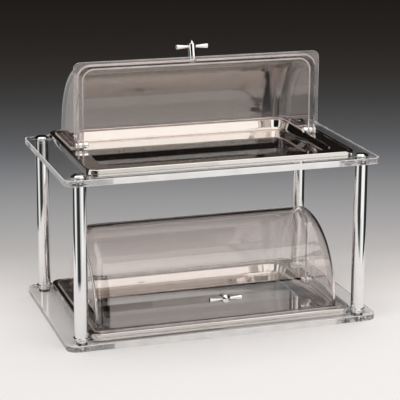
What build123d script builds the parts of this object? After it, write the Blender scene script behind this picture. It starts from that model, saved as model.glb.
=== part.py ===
from build123d import *
import os
from math import cos, radians, sin

# Two-tier countertop bread display with roll-top covers.
# Millimetres. +X is the stand's right, +Y its back, +Z up. The origin is on the
# table, under the middle of the stand.

# ---- tray: the stand and the covers take their sizes from it ------------------
TRAY_WIDTH = 528.0
TRAY_DEPTH = 344.0
TRAY_CORNER = 22.0
TRAY_SHEET = 1.0
TRAY_RISE = 12.5             # height of the skirt that stands on the plate
TRAY_EDGE_ROUND = 2.0
BAND_WIDTH = 8.5             # flat raised band around the outside
BAND_STEP = 1.0              # from the band down to the ledge the covers lie on
BAND_INNER_CORNER = 13.0
LEDGE_SIDE_WIDTH = 25.5      # from the band to the well, left and right
LEDGE_FRONT_WIDTH = 22.5     # from the band to the well, front and back
WELL_CORNER = 26.0
WELL_DEPTH = 19.0
WELL_DRAFT = 14.0
WELL_FLOOR_ROUND = 7.0
WELL_LIP_ROUND = 1.2

# ---- stand -------------------------------------------------------------------
TIER_RISE = 316.0            # from the top of one plate to the top of the next
COLUMN_FROM_TRAY = 14.5      # from the tray's side out to the columns' centres
COLUMN_SETBACK = 10.0        # from the tray's front edge back to the columns' centres
PLATE_SIDE_MARGIN = 31.5     # from the columns' centres to the plate's sides
PLATE_FRONT_MARGIN = 28.0
PLATE_THICKNESS = 12.0
PLATE_CORNER = 20.0
PLATE_EDGE_CHAMFER = 0.8
CUTOUT_CLEARANCE = 4.0       # between the well and the hole in the plate
CUTOUT_CORNER = 12.0
COLUMN_DIAMETER = 26.0
COLUMN_WALL = 1.5
COLLAR_DIAMETER = 31.0       # rings at the foot and under the cap of a column
SOCKET_BODY_HEIGHT = 6.0
SOCKET_RING_HEIGHT = 2.0
SOCKET_RING_ROUND = 0.9
SPIGOT_DIAMETER = 14.0       # part of a socket or plug that passes through its plate
PLUG_LENGTH = 20.0           # how far sockets and plugs reach into the tube
SCREW_DIAMETER = 8.0
SCREW_GRIP = 14.0            # length of thread in a socket or plug
CAP_FLANGE_HEIGHT = 1.5
CAP_DOME_HEIGHT = 4.5
FOOT_HEIGHT = 3.0
FOOT_DIAMETER = 23.0
FOOT_BORE = 14.0
FOOT_HEAD_DIAMETER = 12.5
FOOT_HEAD_HEIGHT = 2.2

# ---- covers ------------------------------------------------------------------
PIVOT_HEIGHT = 19.0          # cover axis above the plate
COVER_WALL = 3.5             # one sheet thickness, flanges included
FLANGE_MARGIN = 1.5          # flanges to the tray's band
RIM_SIDE_MARGIN = 5.5        # the same at the sides of the front cover
RIM_FRONT_WIDTH = 5.0
RIM_SIDE_WIDTH = 6.0
RIM_CORNER = 13.0
RIM_END_FROM_AXIS = 12.0
RIM_REST_GAP = 0.3           # air under the closed rim
FRONT_COVER_ROUND = 28.0
REAR_COVER_GAP = 4.5         # between the two nested covers, radially
REAR_COVER_SIDE_GAP = 6.5    # between the two nested covers, at the sides
REAR_COVER_ROUND = 25.0
REAR_PAST_AXIS = 4.0         # how far the rear cover's edge lies before its axis
OPEN_REST_GAP = 0.5          # air between the open front cover and the base flange
BASE_CORNER = 20.0
BASE_START = 10.0            # the base flange starts this far behind the axis
EAR_RADIUS = 7.0             # round lugs of both covers at the pivot
OPEN_ANGLE = 90.0            # the upper cover stands open, the lower one is closed

# ---- cover pivots ------------------------------------------------------------
PIVOT_DIAMETER = 6.0
PIVOT_HEAD_DIAMETER = 12.5
PIVOT_HEAD_LENGTH = 3.2
PIVOT_NUT_LENGTH = 8.5
PIVOT_RUNNING_FIT = 0.05
PIVOT_SIDE_PLAY = 0.3
SPACER_DIAMETER = 12.0
HEAD_CHAMFER = 0.6

# ---- handle ------------------------------------------------------------------
HANDLE_ANGLE = 13.0          # above the axis, on the closed front cover
GASKET_DIAMETER = 15.0
GASKET_THICKNESS = 1.0
POST_DIAMETER = 16.0
POST_HEIGHT = 33.0
POST_CONE = 6.5
POST_TIP_DIAMETER = 1.6
ARM_HEIGHT = 22.0            # crossbar's centre above the cover
HANDLE_SPAN = 64.0
ARM_ROOT_DIAMETER = 5.0
ARM_END_DIAMETER = 10.5
ARM_END_ROUND = 1.2
ARM_SPIGOT_DIAMETER = 4.0
ARM_SPIGOT_LENGTH = 4.5
HANDLE_SCREW_DIAMETER = 5.0
HANDLE_SCREW_GRIP = 14.0
HANDLE_HEAD_DIAMETER = 10.0
HANDLE_HEAD_HEIGHT = 1.9
WASHER_DIAMETER = 13.0
WASHER_THICKNESS = 0.8
CURVE_SEAT = 0.2             # flat parts on a curved wall bed in by this much

# ---- fits --------------------------------------------------------------------
SLIP_FIT = 0.05              # radial clearance of parts that plug together
HOLE_FIT = 0.2               # radial clearance of a screw in a plate or cover

# ---- sizes that follow -------------------------------------------------------
BAND_INNER_WIDTH = TRAY_WIDTH - 2 * BAND_WIDTH
BAND_INNER_DEPTH = TRAY_DEPTH - 2 * BAND_WIDTH
WELL_WIDTH = BAND_INNER_WIDTH - 2 * LEDGE_SIDE_WIDTH
WELL_LENGTH = BAND_INNER_DEPTH - 2 * LEDGE_FRONT_WIDTH
LEDGE = TRAY_RISE - BAND_STEP

COLUMN_SPACING_X = TRAY_WIDTH + 2 * COLUMN_FROM_TRAY
COLUMN_SPACING_Y = TRAY_DEPTH - 2 * COLUMN_SETBACK
PLATE_WIDTH = COLUMN_SPACING_X + 2 * PLATE_SIDE_MARGIN
PLATE_DEPTH = COLUMN_SPACING_Y + 2 * PLATE_FRONT_MARGIN
BASE_PLATE_TOP = FOOT_HEIGHT + PLATE_THICKNESS
TIER_TOPS = {"lower": BASE_PLATE_TOP, "upper": BASE_PLATE_TOP + TIER_RISE}
COLUMN_SIDES = {
    "front_left": (-COLUMN_SPACING_X / 2, -COLUMN_SPACING_Y / 2),
    "front_right": (COLUMN_SPACING_X / 2, -COLUMN_SPACING_Y / 2),
    "rear_left": (-COLUMN_SPACING_X / 2, COLUMN_SPACING_Y / 2),
    "rear_right": (COLUMN_SPACING_X / 2, COLUMN_SPACING_Y / 2),
}
COLUMN_RADIUS = COLUMN_DIAMETER / 2
TUBE_BORE_RADIUS = COLUMN_RADIUS - COLUMN_WALL
SOCKET_HEIGHT = SOCKET_BODY_HEIGHT + SOCKET_RING_HEIGHT
COLUMN_LOW = BASE_PLATE_TOP + SOCKET_HEIGHT
COLUMN_TOP = TIER_TOPS["upper"] - PLATE_THICKNESS

RIM_HALF_WIDTH = BAND_INNER_WIDTH / 2 - RIM_SIDE_MARGIN
RIM_REACH = BAND_INNER_DEPTH / 2 - FLANGE_MARGIN
FRONT_COVER_WIDTH = 2 * (RIM_HALF_WIDTH - RIM_SIDE_WIDTH)
FRONT_COVER_RADIUS = RIM_REACH - RIM_FRONT_WIDTH
FRONT_INNER_RADIUS = FRONT_COVER_RADIUS - COVER_WALL
REAR_COVER_RADIUS = FRONT_INNER_RADIUS - REAR_COVER_GAP
FRONT_INNER_HALF = FRONT_COVER_WIDTH / 2 - COVER_WALL
REAR_HALF = FRONT_INNER_HALF - REAR_COVER_SIDE_GAP
REAR_INNER_HALF = REAR_HALF - COVER_WALL
LEDGE_BELOW_AXIS = PIVOT_HEIGHT - LEDGE
RIM_BELOW_AXIS = LEDGE_BELOW_AXIS - RIM_REST_GAP
FRONT_PAST_AXIS = LEDGE_BELOW_AXIS - COVER_WALL - OPEN_REST_GAP
BEYOND = 2 * FRONT_COVER_RADIUS   # a length that reaches past every cover


def rounded_block(width, depth, corner, low, high):
    """Upright block with rounded corners, from height low to height high."""
    outline = Pos(0, 0, low) * RectangleRounded(width, depth, corner)
    return extrude(outline, high - low)


def cylinder_up(radius, low, high):
    """Cylinder on the Z axis, from height low to height high."""
    return Pos(0, 0, low) * Cylinder(radius, high - low, align=(Align.CENTER, Align.CENTER, Align.MIN))


def cylinder_along_x(radius, near, far):
    """Cylinder on the X axis, from x = near to x = far."""
    return Pos(near, 0, 0) * Rot(0, 90, 0) * cylinder_up(radius, 0, far - near)


def box_between(low, high):
    """Box from its lowest corner to its highest corner."""
    size = [b - a for a, b in zip(low, high)]
    return Pos(*low) * Box(*size, align=(Align.MIN, Align.MIN, Align.MIN))


def both_sides(part):
    """A part and its mirror image across the middle of the stand."""
    return Compound(children=[part, mirror(part, about=Plane.YZ)])


def at_columns(part):
    """One copy of a part on each of the four columns."""
    return Compound(children=[Pos(x, y, 0) * copy_of(part) for x, y in COLUMN_SIDES.values()])


def copy_of(part):
    """An independent copy, so that a compound can own it."""
    return Pos(0, 0, 0) * part


def save(part, node):
    """Write one node's STEP file."""
    export_step(part, f"parts/{node}.step")


# ---- stand pieces --------------------------------------------------------------
def plate(top):
    """Clear plate with polished edges, column holes and a cut-out for the tray's well."""
    body = rounded_block(PLATE_WIDTH, PLATE_DEPTH, PLATE_CORNER, top - PLATE_THICKNESS, top)
    rims = body.edges().filter_by(Plane.XY)
    body = chamfer(rims, PLATE_EDGE_CHAMFER)
    cutout_width = WELL_WIDTH + 2 * CUTOUT_CLEARANCE
    cutout_depth = WELL_LENGTH + 2 * CUTOUT_CLEARANCE
    body -= rounded_block(cutout_width, cutout_depth, CUTOUT_CORNER, top - PLATE_THICKNESS, top)
    for x, y in COLUMN_SIDES.values():
        body -= Pos(x, y, 0) * cylinder_up(SPIGOT_DIAMETER / 2 + HOLE_FIT, top - PLATE_THICKNESS, top)
    return body


def column_tube():
    """Straight tube between the foot socket and the upper plate."""
    outside = cylinder_up(COLUMN_RADIUS, COLUMN_LOW, COLUMN_TOP)
    return outside - cylinder_up(TUBE_BORE_RADIUS, COLUMN_LOW, COLUMN_TOP)


def base_socket():
    """Turned foot of a column: spigot through the plate, ring, and plug in the tube."""
    plate_bottom = BASE_PLATE_TOP - PLATE_THICKNESS
    body = cylinder_up(SPIGOT_DIAMETER / 2, plate_bottom, BASE_PLATE_TOP)
    body += cylinder_up(COLUMN_RADIUS, BASE_PLATE_TOP, BASE_PLATE_TOP + SOCKET_BODY_HEIGHT)
    ring = cylinder_up(COLLAR_DIAMETER / 2, BASE_PLATE_TOP + SOCKET_BODY_HEIGHT, COLUMN_LOW)
    body += fillet(ring.edges(), SOCKET_RING_ROUND)
    body += cylinder_up(TUBE_BORE_RADIUS - SLIP_FIT, COLUMN_LOW, COLUMN_LOW + PLUG_LENGTH)
    return body - cylinder_up(SCREW_DIAMETER / 2 + SLIP_FIT, plate_bottom, plate_bottom + SCREW_GRIP)


def top_plug():
    """Turned head of a column: plug in the tube and spigot through the upper plate."""
    top = TIER_TOPS["upper"]
    body = cylinder_up(TUBE_BORE_RADIUS - SLIP_FIT, COLUMN_TOP - PLUG_LENGTH, COLUMN_TOP)
    body += cylinder_up(SPIGOT_DIAMETER / 2, COLUMN_TOP, top)
    return body - cylinder_up(SCREW_DIAMETER / 2 + SLIP_FIT, top - SCREW_GRIP, top)


def cap_screw():
    """Domed cap with a flange that clamps the upper plate, its screw down in the plug."""
    top = TIER_TOPS["upper"]
    flange = cylinder_up(COLLAR_DIAMETER / 2, top, top + CAP_FLANGE_HEIGHT)
    dome_low = top + CAP_FLANGE_HEIGHT
    dome_radius = (COLUMN_RADIUS**2 + CAP_DOME_HEIGHT**2) / (2 * CAP_DOME_HEIGHT)
    ball = Pos(0, 0, dome_low + CAP_DOME_HEIGHT - dome_radius) * Sphere(dome_radius)
    dome = ball & cylinder_up(COLUMN_RADIUS, dome_low, dome_low + CAP_DOME_HEIGHT)
    shank = cylinder_up(SCREW_DIAMETER / 2, top - SCREW_GRIP + HOLE_FIT, top)
    return flange + dome + shank


def foot_screw():
    """Flat-headed screw that pulls the socket down on the lower plate."""
    plate_bottom = BASE_PLATE_TOP - PLATE_THICKNESS
    head = cylinder_up(FOOT_HEAD_DIAMETER / 2, plate_bottom - FOOT_HEAD_HEIGHT, plate_bottom)
    return head + cylinder_up(SCREW_DIAMETER / 2, plate_bottom, plate_bottom + SCREW_GRIP - HOLE_FIT)


def foot_pad():
    """Rubber ring stuck under the plate around the screw head."""
    return cylinder_up(FOOT_DIAMETER / 2, 0, FOOT_HEIGHT) - cylinder_up(FOOT_BORE / 2, 0, FOOT_HEIGHT)


# ---- tray ----------------------------------------------------------------------
def well_block(width, depth, corner, top, bottom, floor_round):
    """Tapered block with a rounded lower edge, for the inside or outside of the well."""
    outline = Pos(0, 0, top) * RectangleRounded(width, depth, corner)
    block = extrude(outline, top - bottom, dir=(0, 0, -1), taper=WELL_DRAFT)
    floor_edges = block.faces().sort_by(Axis.Z)[0].edges()
    return fillet(floor_edges, floor_round)


def well_lip(body):
    """Edges where the well's walls meet the ledge."""
    on_ledge = body.faces().filter_by(Plane.XY).filter_by_position(Axis.Z, LEDGE, LEDGE)[0]
    return on_ledge.inner_wires()[0].edges()


def tray():
    """Pressed sheet tray: skirt on the plate, raised band, ledge, and a sunk well."""
    sheet = TRAY_SHEET
    outside = rounded_block(TRAY_WIDTH, TRAY_DEPTH, TRAY_CORNER, 0, TRAY_RISE)
    outside = fillet(outside.faces().sort_by(Axis.Z)[-1].edges(), TRAY_EDGE_ROUND)
    skirt_width = TRAY_WIDTH - 2 * sheet
    skirt_depth = TRAY_DEPTH - 2 * sheet
    under_ledge = rounded_block(skirt_width, skirt_depth, TRAY_CORNER - sheet, 0, LEDGE - sheet)
    under_band = rounded_block(
        skirt_width - 2 * TRAY_EDGE_ROUND,
        skirt_depth - 2 * TRAY_EDGE_ROUND,
        TRAY_CORNER - sheet - TRAY_EDGE_ROUND,
        LEDGE - sheet,
        TRAY_RISE - sheet,
    )
    under_band -= rounded_block(
        BAND_INNER_WIDTH + 2 * sheet,
        BAND_INNER_DEPTH + 2 * sheet,
        BAND_INNER_CORNER + sheet,
        LEDGE - sheet,
        TRAY_RISE - sheet,
    )
    ledge_step = rounded_block(BAND_INNER_WIDTH, BAND_INNER_DEPTH, BAND_INNER_CORNER, LEDGE, TRAY_RISE)
    body = outside - under_ledge - under_band - ledge_step
    wall_offset = sheet / cos(radians(WELL_DRAFT))
    body += well_block(
        WELL_WIDTH + 2 * wall_offset,
        WELL_LENGTH + 2 * wall_offset,
        WELL_CORNER + wall_offset,
        LEDGE,
        LEDGE - WELL_DEPTH - sheet,
        WELL_FLOOR_ROUND + sheet,
    )
    body -= well_block(
        WELL_WIDTH, WELL_LENGTH, WELL_CORNER, LEDGE, LEDGE - WELL_DEPTH, WELL_FLOOR_ROUND
    )
    return fillet(well_lip(body), WELL_LIP_ROUND)


# ---- covers, about their own axis: front cover closed, axis at the origin ---------
def barrel(half_width, radius, rounding):
    """Closed round barrel about the X axis with rounded end edges."""
    half_section = Rectangle(2 * half_width, radius, align=(Align.CENTER, Align.MIN))
    far_corners = half_section.vertices().sort_by(Axis.Y)[-2:]
    return revolve(fillet(far_corners, rounding), Axis.X, 360)


def ears(outer_half, floor):
    """Round lugs of a cover's two side walls at the pivot, cut off at the floor."""
    lug = cylinder_along_x(EAR_RADIUS, outer_half - COVER_WALL, outer_half)
    lug &= box_between((0, -BEYOND, -floor), (BEYOND, BEYOND, BEYOND))
    return lug + mirror(lug, about=Plane.YZ)


def pivot_holes():
    """Through holes for both pivot bolts."""
    return cylinder_along_x(PIVOT_DIAMETER / 2 + PIVOT_RUNNING_FIT, -BEYOND, BEYOND)


def flange_slab(half_width, reach, corner, floor):
    """Slab under a cover, as wide and deep as its flange's outline."""
    return rounded_block(2 * half_width, 2 * reach, corner, -floor, -floor + COVER_WALL)


def front_cover():
    """Outer quarter shell that swings: wall, rim flange, pivot lugs and handle hole."""
    inside = barrel(FRONT_INNER_HALF, FRONT_INNER_RADIUS, FRONT_COVER_ROUND - COVER_WALL)
    body = barrel(FRONT_COVER_WIDTH / 2, FRONT_COVER_RADIUS, FRONT_COVER_ROUND) - inside
    quarter = box_between((-BEYOND, -BEYOND, -RIM_BELOW_AXIS), (BEYOND, 0, BEYOND))
    quarter += box_between((-BEYOND, -BEYOND, 0), (BEYOND, FRONT_PAST_AXIS, BEYOND))
    body &= quarter
    rim = flange_slab(RIM_HALF_WIDTH, RIM_REACH, RIM_CORNER, RIM_BELOW_AXIS)
    rim &= box_between((-BEYOND, -BEYOND, -BEYOND), (BEYOND, -RIM_END_FROM_AXIS, BEYOND))
    body += rim - inside
    body += ears(FRONT_COVER_WIDTH / 2, RIM_BELOW_AXIS)
    body -= pivot_holes()
    hole = cylinder_up(HANDLE_SCREW_DIAMETER / 2 + HOLE_FIT, REAR_COVER_RADIUS, BEYOND)
    return body - Rot(90 - HANDLE_ANGLE, 0, 0) * hole


def rear_cover():
    """Inner quarter shell that stands still: wall, base flange and pivot lugs."""
    inside = barrel(REAR_INNER_HALF, REAR_COVER_RADIUS - COVER_WALL, REAR_COVER_ROUND - COVER_WALL)
    body = barrel(REAR_HALF, REAR_COVER_RADIUS, REAR_COVER_ROUND) - inside
    body &= box_between((-BEYOND, -REAR_PAST_AXIS, -LEDGE_BELOW_AXIS), (BEYOND, BEYOND, BEYOND))
    base_half = BAND_INNER_WIDTH / 2 - FLANGE_MARGIN
    base_reach = BAND_INNER_DEPTH / 2 - FLANGE_MARGIN
    base = flange_slab(base_half, base_reach, BASE_CORNER, LEDGE_BELOW_AXIS)
    base &= box_between((-BEYOND, BASE_START, -BEYOND), (BEYOND, BEYOND, BEYOND))
    body += base - inside
    body += ears(REAR_HALF, LEDGE_BELOW_AXIS)
    return body - pivot_holes()


# ---- cover pivots: right-hand ones, on the X axis --------------------------------
def pivot_bolt():
    """Shoulder bolt with a flat round head outside the front cover."""
    head_start = FRONT_COVER_WIDTH / 2 + PIVOT_SIDE_PLAY
    head = cylinder_along_x(PIVOT_HEAD_DIAMETER / 2, head_start, head_start + PIVOT_HEAD_LENGTH)
    head = chamfer(head.edges().sort_by(Axis.X)[-1], HEAD_CHAMFER)
    shank_end = REAR_INNER_HALF - PIVOT_NUT_LENGTH + 2 * HEAD_CHAMFER
    return head + cylinder_along_x(PIVOT_DIAMETER / 2, shank_end, head_start)


def pivot_spacer():
    """Ring that keeps the two covers' side walls apart."""
    end = FRONT_INNER_HALF - PIVOT_SIDE_PLAY
    ring = cylinder_along_x(SPACER_DIAMETER / 2, REAR_HALF, end)
    return ring - cylinder_along_x(PIVOT_DIAMETER / 2 + SLIP_FIT, REAR_HALF, end)


def pivot_nut():
    """Round blind nut against the inside of the rear cover's side wall."""
    start = REAR_INNER_HALF - PIVOT_NUT_LENGTH
    nut = cylinder_along_x(PIVOT_HEAD_DIAMETER / 2, start, REAR_INNER_HALF)
    nut = chamfer(nut.edges().sort_by(Axis.X)[0], HEAD_CHAMFER)
    return nut - cylinder_along_x(PIVOT_DIAMETER / 2 + SLIP_FIT, start + HEAD_CHAMFER, REAR_INNER_HALF)


# ---- handle, standing on the Z axis with the cover's surface at its radius ---------
def handle_gasket():
    """Soft ring between the cover and the handle's post."""
    low = FRONT_COVER_RADIUS
    ring = cylinder_up(GASKET_DIAMETER / 2, low, low + GASKET_THICKNESS)
    return ring - cylinder_up(HANDLE_SCREW_DIAMETER / 2 + HOLE_FIT, low, low + GASKET_THICKNESS)


def handle_post():
    """Round post with a pointed top, a cross bore for the arms and a blind screw hole."""
    low = FRONT_COVER_RADIUS + GASKET_THICKNESS
    tip = low + POST_HEIGHT
    body = cylinder_up(POST_DIAMETER / 2, low, tip - POST_CONE)
    seat = Align.CENTER, Align.CENTER, Align.MIN
    point = Cone(POST_DIAMETER / 2, POST_TIP_DIAMETER / 2, POST_CONE, align=seat)
    body += Pos(0, 0, tip - POST_CONE) * point
    body -= cylinder_up(HANDLE_SCREW_DIAMETER / 2 + SLIP_FIT, low, low + HANDLE_SCREW_GRIP)
    cross = cylinder_along_x(ARM_SPIGOT_DIAMETER / 2 + SLIP_FIT, -POST_DIAMETER, POST_DIAMETER)
    return body - Pos(0, 0, FRONT_COVER_RADIUS + ARM_HEIGHT) * cross


def handle_arm():
    """Right-hand arm: flared towards its end, with a spigot in the post."""
    root = POST_DIAMETER / 2
    length = HANDLE_SPAN / 2 - root
    seat = Align.CENTER, Align.CENTER, Align.MIN
    flare = Cone(ARM_ROOT_DIAMETER / 2, ARM_END_DIAMETER / 2, length, align=seat)
    flare = fillet(flare.edges().sort_by(Axis.Z)[-1], ARM_END_ROUND)
    arm = Pos(root, 0, 0) * Rot(0, 90, 0) * flare
    arm += cylinder_along_x(ARM_SPIGOT_DIAMETER / 2, root - ARM_SPIGOT_LENGTH, root)
    return Pos(0, 0, FRONT_COVER_RADIUS + ARM_HEIGHT) * arm


def handle_washer():
    """Washer inside the cover under the screw's head."""
    high = FRONT_INNER_RADIUS - CURVE_SEAT
    ring = cylinder_up(WASHER_DIAMETER / 2, high - WASHER_THICKNESS, high)
    return ring - cylinder_up(HANDLE_SCREW_DIAMETER / 2 + HOLE_FIT, high - WASHER_THICKNESS, high)


def handle_screw():
    """Low-headed screw from inside the cover up into the post."""
    seat = FRONT_INNER_RADIUS - CURVE_SEAT - WASHER_THICKNESS
    head = cylinder_up(HANDLE_HEAD_DIAMETER / 2, seat - HANDLE_HEAD_HEIGHT, seat)
    end = FRONT_COVER_RADIUS + GASKET_THICKNESS + HANDLE_SCREW_GRIP - HOLE_FIT
    return head + cylinder_up(HANDLE_SCREW_DIAMETER / 2, seat, end)


# ---- assembly ------------------------------------------------------------------
def stand_nodes():
    """Everything that stands still: plates, columns and their fasteners."""
    nodes = {
        "lower_plate": plate(TIER_TOPS["lower"]),
        "upper_plate": plate(TIER_TOPS["upper"]),
        "column_base_sockets": at_columns(base_socket()),
        "column_top_plugs": at_columns(top_plug()),
        "column_cap_screws": at_columns(cap_screw()),
        "foot_screws": at_columns(foot_screw()),
        "foot_pads": at_columns(foot_pad()),
    }
    for side, (x, y) in COLUMN_SIDES.items():
        nodes[f"{side}_column"] = Pos(x, y, 0) * column_tube()
    return nodes


def tier_nodes(tier, cover_angle):
    """One tier: tray, rear cover, pivots, and the front cover turned back by an angle."""
    axis_height = TIER_TOPS[tier] + PIVOT_HEIGHT
    on_axis = Pos(0, 0, axis_height)
    swung = on_axis * Rot(-cover_angle, 0, 0)
    on_cover = swung * Rot(90 - HANDLE_ANGLE, 0, 0)
    return {
        f"{tier}_tray": Pos(0, 0, TIER_TOPS[tier]) * tray(),
        f"{tier}_rear_cover": on_axis * rear_cover(),
        f"{tier}_front_cover": swung * front_cover(),
        f"{tier}_pivot_bolts": on_axis * both_sides(pivot_bolt()),
        f"{tier}_pivot_spacers": on_axis * both_sides(pivot_spacer()),
        f"{tier}_pivot_nuts": on_axis * both_sides(pivot_nut()),
        f"{tier}_handle_gasket": on_cover * handle_gasket(),
        f"{tier}_handle_post": on_cover * handle_post(),
        f"{tier}_handle_arms": on_cover * both_sides(handle_arm()),
        f"{tier}_handle_washer": on_cover * handle_washer(),
        f"{tier}_handle_screw": on_cover * handle_screw(),
    }


os.makedirs("parts", exist_ok=True)
all_nodes = {**stand_nodes(), **tier_nodes("lower", 0), **tier_nodes("upper", OPEN_ANGLE)}
for name, solid in all_nodes.items():
    save(solid, name)
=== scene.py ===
import math
import bmesh
import bpy
from mathutils import Matrix, Vector


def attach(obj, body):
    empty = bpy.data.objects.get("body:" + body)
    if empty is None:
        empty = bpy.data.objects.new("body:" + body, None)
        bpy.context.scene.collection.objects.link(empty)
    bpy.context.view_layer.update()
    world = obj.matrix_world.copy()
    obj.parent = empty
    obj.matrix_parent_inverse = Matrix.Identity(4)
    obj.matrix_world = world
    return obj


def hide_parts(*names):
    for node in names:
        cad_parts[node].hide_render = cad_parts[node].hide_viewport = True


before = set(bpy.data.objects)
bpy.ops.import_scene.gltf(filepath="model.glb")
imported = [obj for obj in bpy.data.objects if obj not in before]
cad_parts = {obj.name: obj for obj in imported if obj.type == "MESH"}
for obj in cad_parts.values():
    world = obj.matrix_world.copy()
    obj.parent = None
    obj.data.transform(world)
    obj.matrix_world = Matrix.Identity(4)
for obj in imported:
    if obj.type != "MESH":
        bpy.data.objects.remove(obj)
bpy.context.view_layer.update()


# ---- Feet ---------------------------------------------------------------------
# Four black rubber rings under the lower plate, each round the flat head of the
# screw that holds its column. Pressed rubber, stuck on; turned steel screws.
MM = 0.001
COLUMN_SPACING = (557.0, 324.0)
PAD_HOLE, PAD_RADIUS, PAD_HEIGHT, PAD_SEAM = 7.0, 11.5, 3.0, 0.4
HEAD_RADIUS, HEAD_LOW = 6.25, 0.8
DRIVE_RADIUS, DRIVE_TOP = 2.2, 1.4
SCREW_RADIUS, SCREW_LENGTH = 4.0, 13.8


def eased(outline, radius, steps=3, most=0.45):
    """A turned part's outline, (radius, height) in mm, with its corners rounded off.

    A rounding takes at most that share of either edge beside it.
    """
    points = [Vector(outline[0])]
    for before, corner, after in zip(outline, outline[1:], outline[2:]):
        corner = Vector(corner)
        back, ahead = Vector(before) - corner, Vector(after) - corner
        cut = min(radius, back.length * most, ahead.length * most)
        start, end = corner + back.normalized() * cut, corner + ahead.normalized() * cut
        for k in range(steps + 1):
            t = k / steps
            points.append(start * (1 - t) ** 2 + corner * 2 * t * (1 - t) + end * t * t)
    return points + [Vector(outline[-1])]


def turned(outline, sides=48, tip=1e-6):
    """Lathe shape about Z as (points in mm, faces). A closed outline makes a ring."""
    points, rings, faces = [], [], []
    for radius, height in outline:
        if radius < tip:
            rings.append([len(points)] * sides)
            points.append(Vector((0, 0, height)))
            continue
        rings.append(list(range(len(points), len(points) + sides)))
        for k in range(sides):
            a = math.tau * k / sides
            points.append(Vector((radius * math.cos(a), radius * math.sin(a), height)))
    for low, high in zip(rings, rings[1:]):
        for k in range(sides):
            corners = [low[k], low[k - 1], high[k - 1], high[k]]
            faces.append(list(dict.fromkeys(corners)))
    return points, faces


def mesh_of(name, *shapes, place=Matrix()):
    """Closed mesh in metres from shapes: points in mm, faces, and perhaps a finish's number."""
    bm = bmesh.new()
    for points, faces, *finish in shapes:
        made = [bm.verts.new(place @ Vector(p) * MM) for p in points]
        for face in faces:
            bm.faces.new([made[k] for k in face]).material_index = finish[0] if finish else 0
    bmesh.ops.remove_doubles(bm, verts=bm.verts, dist=1e-6)
    bmesh.ops.dissolve_degenerate(bm, edges=bm.edges, dist=1e-7)
    bmesh.ops.recalc_face_normals(bm, faces=bm.faces)
    for face in bm.faces:
        face.smooth = True
    mesh = bpy.data.meshes.new(name)
    bm.to_mesh(mesh)
    bm.free()
    return mesh


def object_of(name, mesh, *materials):
    """New object in the scene for a mesh, with its materials."""
    obj = bpy.data.objects.new(name, mesh)
    bpy.context.scene.collection.objects.link(obj)
    for material in materials:
        mesh.materials.append(material)
    return obj


def new_tree(name, *inputs):
    """Geometry Nodes tree with a geometry input, more named inputs and an output."""
    tree = bpy.data.node_groups.new(name, "GeometryNodeTree")
    tree.interface.new_socket("Geometry", in_out="INPUT", socket_type="NodeSocketGeometry")
    for label, kind in inputs:
        tree.interface.new_socket(label, in_out="INPUT", socket_type=kind)
    tree.interface.new_socket("Geometry", in_out="OUTPUT", socket_type="NodeSocketGeometry")
    return tree, tree.nodes.new("NodeGroupInput"), tree.nodes.new("NodeGroupOutput")


def run_tree(obj, tree, **values):
    """Run a Geometry Nodes tree on an object once and keep its result as plain mesh."""
    modifier = obj.modifiers.new(tree.name, "NODES")
    modifier.node_group = tree
    for item in tree.interface.items_tree:
        if item.in_out == "INPUT" and item.name in values:
            modifier[item.identifier] = values[item.name]
    bpy.context.view_layer.update()
    evaluated = obj.evaluated_get(bpy.context.evaluated_depsgraph_get())
    mesh = bpy.data.meshes.new_from_object(evaluated)
    obj.modifiers.remove(modifier)
    obj.data = mesh
    return obj


def copies_at(tree, given, result, points):
    """End a tree with copies of the given part at points, made real and given their material."""
    place = tree.nodes.new("GeometryNodeInstanceOnPoints")
    real = tree.nodes.new("GeometryNodeRealizeInstances")
    paint = tree.nodes.new("GeometryNodeSetMaterial")
    tree.links.new(points, place.inputs["Points"])
    tree.links.new(given.outputs["Geometry"], place.inputs["Instance"])
    tree.links.new(place.outputs["Instances"], real.inputs["Geometry"])
    tree.links.new(real.outputs["Geometry"], paint.inputs["Geometry"])
    tree.links.new(given.outputs["Material"], paint.inputs["Material"])
    tree.links.new(paint.outputs["Geometry"], result.inputs["Geometry"])
    return place


def make_columns_tree():
    """Copies of one part at the four column places."""
    tree, given, result = new_tree(
        "at_four_columns",
        ("Spacing X", "NodeSocketFloat"),
        ("Spacing Y", "NodeSocketFloat"),
        ("Material", "NodeSocketMaterial"),
    )
    grid = tree.nodes.new("GeometryNodeMeshGrid")
    grid.inputs["Vertices X"].default_value = 2
    grid.inputs["Vertices Y"].default_value = 2
    tree.links.new(given.outputs["Spacing X"], grid.inputs["Size X"])
    tree.links.new(given.outputs["Spacing Y"], grid.inputs["Size Y"])
    copies_at(tree, given, result, grid.outputs["Mesh"])
    return tree


columns_tree = make_columns_tree()


def at_columns(name, shape, material, *nodes):
    """A turned part repeated at the four columns, standing for its CAD nodes."""
    obj = object_of(name, mesh_of(name, shape), material)
    spacing = {"Spacing X": COLUMN_SPACING[0] * MM, "Spacing Y": COLUMN_SPACING[1] * MM}
    run_tree(obj, columns_tree, Material=material, **spacing)
    return kept(obj, "stand", *nodes)


def kept(obj, body, *nodes):
    """Finish a piece: its shading, its body and the CAD nodes that it stands for."""
    obj.modifiers.new("even shading", "WEIGHTED_NORMAL")
    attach(obj, body)
    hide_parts(*nodes)
    return obj


def new_material(name, slot):
    """Node material with a Principled shader, for one of the record's slots."""
    material = bpy.data.materials.new(name)
    material.use_nodes = True
    material["slot"] = slot
    return material, material.node_tree.nodes["Principled BSDF"]


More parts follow.
